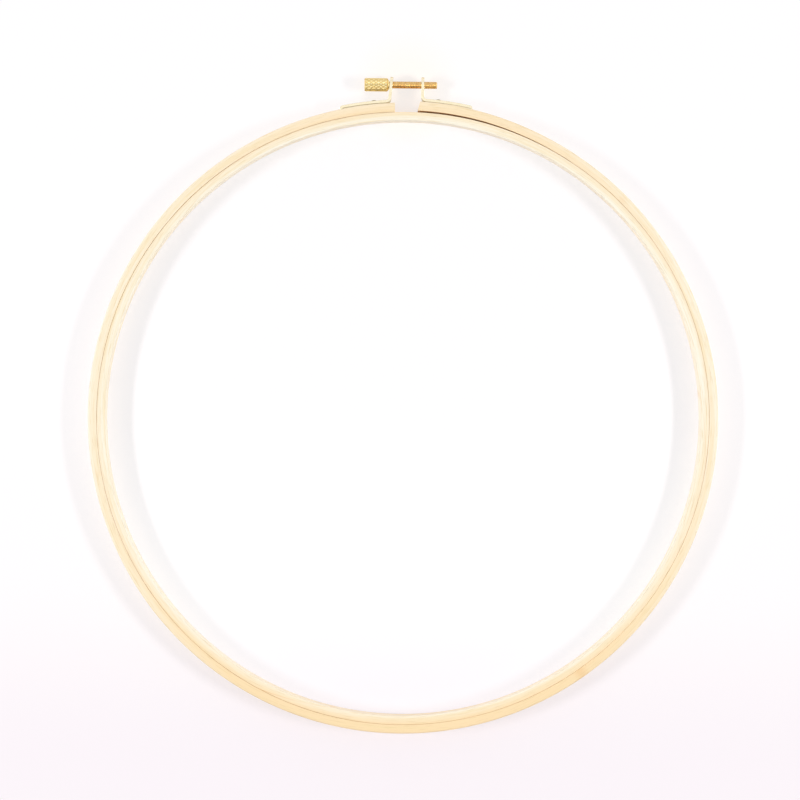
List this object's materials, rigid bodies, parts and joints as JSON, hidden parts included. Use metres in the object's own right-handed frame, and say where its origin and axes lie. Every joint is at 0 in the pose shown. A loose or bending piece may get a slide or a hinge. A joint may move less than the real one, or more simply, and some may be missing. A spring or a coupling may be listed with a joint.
{
  "type": "embroidery hoop",
  "caption": "Round wooden embroidery hoop: a closed inner ring inside a split outer ring, drawn tight by a knurled brass thumb screw through bent brackets.",
  "frame": {"origin": "centre of the hoop's opening, at half the rings' height", "axes": "+Z along the hoop's axis, up when it lies flat; +Y from the centre to the clamp; +X to the right, with the screw's head at the left"},
  "size_m": [0.3142, 0.3274, 0.01],
  "materials": {
    "inner_bamboo": "sanded, unvarnished",
    "outer_bamboo": "sanded, unvarnished",
    "bracket_brass": "bright plated",
    "rivet_brass": "bright plated",
    "screw_brass": "turned and knurled"
  },
  "bodies": {
    "outer_hoop": {"outer_ring": "outer_bamboo", "bracket_left": "bracket_brass", "rivet_left": "rivet_brass"},
    "inner_hoop": {"inner_ring": "inner_bamboo"},
    "clamp_end": {"bracket_right": "bracket_brass", "rivet_right": "rivet_brass"},
    "screw": {"thumb_screw": "screw_brass"}
  },
  "joints": [
    {"name": "screw_turn", "type": "hinge", "parent": "outer_hoop", "child": "screw", "pos_m": [0, 0.1664, 0], "axis": [-1, 0, 0], "range_deg": [0, 3000]},
    {"name": "clamp_opening", "type": "slide", "parent": "outer_hoop", "child": "clamp_end", "axis": [1, 0, 0], "range_m": [0, 0.005], "deforming": ["outer_ring"]},
    {"name": "inner_ring_lift", "type": "slide", "parent": "outer_hoop", "child": "inner_hoop", "axis": [0, 0, 1], "range_m": [0, 0.025]}
  ],
  "couplings": [
    {"joint": "screw_turn", "follows": "clamp_opening", "rad_per_m": 10472}
  ]
}
